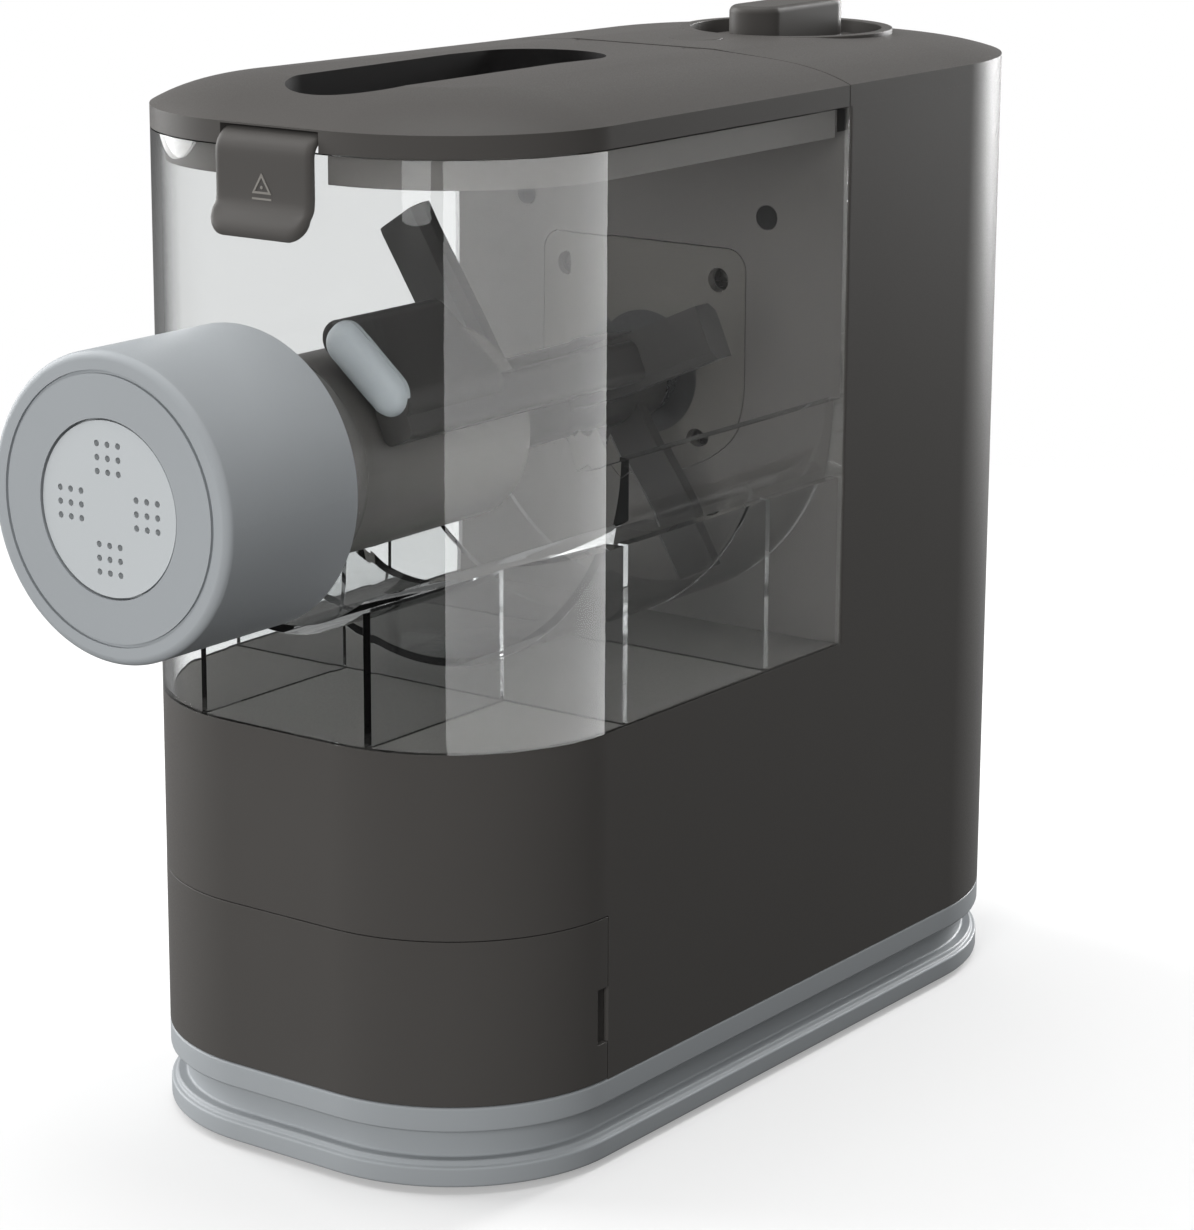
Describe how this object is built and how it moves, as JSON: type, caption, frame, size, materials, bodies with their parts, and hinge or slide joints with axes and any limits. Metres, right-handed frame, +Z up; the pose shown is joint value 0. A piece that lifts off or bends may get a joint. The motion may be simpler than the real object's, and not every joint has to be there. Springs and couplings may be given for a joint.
{
  "type": "electric pasta maker",
  "caption": "Counter-top pasta maker: motor column, clear mixing chamber with hinged lid and paddle, extrusion head with screw cap, front drawer, dial and button.",
  "frame": {"origin": "bottom centre of the whole machine's box, on the table", "axes": "+X to the machine's right as seen from its front, +Y from the extrusion head to the back, +Z up"},
  "size_m": [0.135, 0.3444, 0.2853],
  "materials": {
    "body_plastic": "fine satin moulding",
    "base_plastic": "fine satin moulding",
    "clear_plastic": "clear and glossy",
    "inner_plastic": "matte",
    "white_plastic": "satin",
    "rubber": "matte",
    "steel": "satin",
    "gear_plastic": "satin",
    "board": "satin"
  },
  "bodies": {
    "base": {"base_plinth": "base_plastic", "bottom_cover": "inner_plastic", "rubber_feet": "rubber", "base_screws": "steel", "main_housing": "body_plastic", "wall_sensors": "inner_plastic", "cord_gland": "inner_plastic", "drive_plate": "inner_plastic", "drive_plate_screws": "steel", "drawer_bay": "inner_plastic", "rear_top_cover": "body_plastic", "shaft_seal": "rubber", "front_bearing": "steel", "rear_bearing": "steel", "gear_case_lid": "inner_plastic", "gear_case": "inner_plastic", "idler_pin": "steel", "motor_can": "steel", "circuit_board": "board", "board_posts": "steel", "dial_dish": "body_plastic", "selector_switch": "inner_plastic", "button_spring": "steel", "release_switch": "inner_plastic"},
    "drive": {"drive_shaft": "steel", "output_gear": "gear_plastic"},
    "idler": {"idler_gear": "gear_plastic"},
    "motor": {"motor_shaft": "steel", "motor_pinion": "steel", "cooling_fan": "inner_plastic"},
    "chamber": {"mixing_chamber": "clear_plastic", "lid_hinge_bar": "body_plastic", "extrusion_tube": "base_plastic"},
    "mixer": {"extrusion_screw": "base_plastic", "mixing_paddle": "base_plastic", "paddle_tip": "white_plastic"},
    "lid": {"lid": "body_plastic"},
    "catch": {"latch_clip": "body_plastic", "latch_pin": "steel"},
    "disc": {"shaping_disc": "base_plastic"},
    "cap": {"cap_ring": "base_plastic"},
    "drawer": {"storage_drawer": "body_plastic", "spare_disc_wide": "white_plastic", "spare_disc_narrow": "white_plastic"},
    "knob": {"control_knob": "body_plastic"},
    "button": {"push_button": "body_plastic"}
  },
  "joints": [
    {"name": "drive_spin", "type": "hinge", "parent": "base", "child": "drive", "pos_m": [0, 0.06815, 0.1866], "axis": [0, 1, 0], "continuous": true},
    {"name": "idler_spin", "type": "hinge", "parent": "base", "child": "idler", "pos_m": [0, 0.06815, 0.1296], "axis": [0, 1, 0], "continuous": true},
    {"name": "motor_spin", "type": "hinge", "parent": "base", "child": "motor", "pos_m": [0, 0.10815, 0.09335], "axis": [0, 1, 0], "continuous": true},
    {"name": "chamber_slide", "type": "slide", "parent": "base", "child": "chamber", "axis": [0, -1, 0], "range_m": [0, 0.17]},
    {"name": "paddle_spin", "type": "hinge", "parent": "chamber", "child": "mixer", "pos_m": [0, -0.00185, 0.1866], "axis": [0, 1, 0], "continuous": true},
    {"name": "lid_hinge", "type": "hinge", "parent": "chamber", "child": "lid", "pos_m": [0, 0.04455, 0.27676], "axis": [-1, 0, 0], "range_deg": [0, 75]},
    {"name": "latch_pivot", "type": "hinge", "parent": "lid", "child": "catch", "pos_m": [0, -0.10905, 0.2688], "axis": [-1, 0, 0], "range_deg": [0, 30]},
    {"name": "disc_pull", "type": "slide", "parent": "chamber", "child": "disc", "axis": [0, -1, 0], "range_m": [0, 0.06]},
    {"name": "cap_turn", "type": "hinge", "parent": "disc", "child": "cap", "pos_m": [0, -0.15185, 0.1866], "axis": [0, 1, 0], "range_deg": [0, 60]},
    {"name": "drawer_slide", "type": "slide", "parent": "base", "child": "drawer", "axis": [0, -1, 0], "range_m": [0, 0.095]},
    {"name": "knob_turn", "type": "hinge", "parent": "base", "child": "knob", "pos_m": [0, 0.11815, 0.28], "axis": [0, 0, 1], "range_deg": [-60, 60]},
    {"name": "button_press", "type": "slide", "parent": "base", "child": "button", "axis": [0, 0, -1], "range_m": [0, 0.0025], "stiffness_N_per_m": 300, "springref_m": -0.004, "deforming": ["button_spring"]}
  ],
  "couplings": [
    {"joint": "idler_spin", "follows": "drive_spin", "ratio": -5.3333},
    {"joint": "motor_spin", "follows": "drive_spin", "ratio": 25.6},
    {"joint": "paddle_spin", "follows": "drive_spin", "ratio": 1}
  ]
}
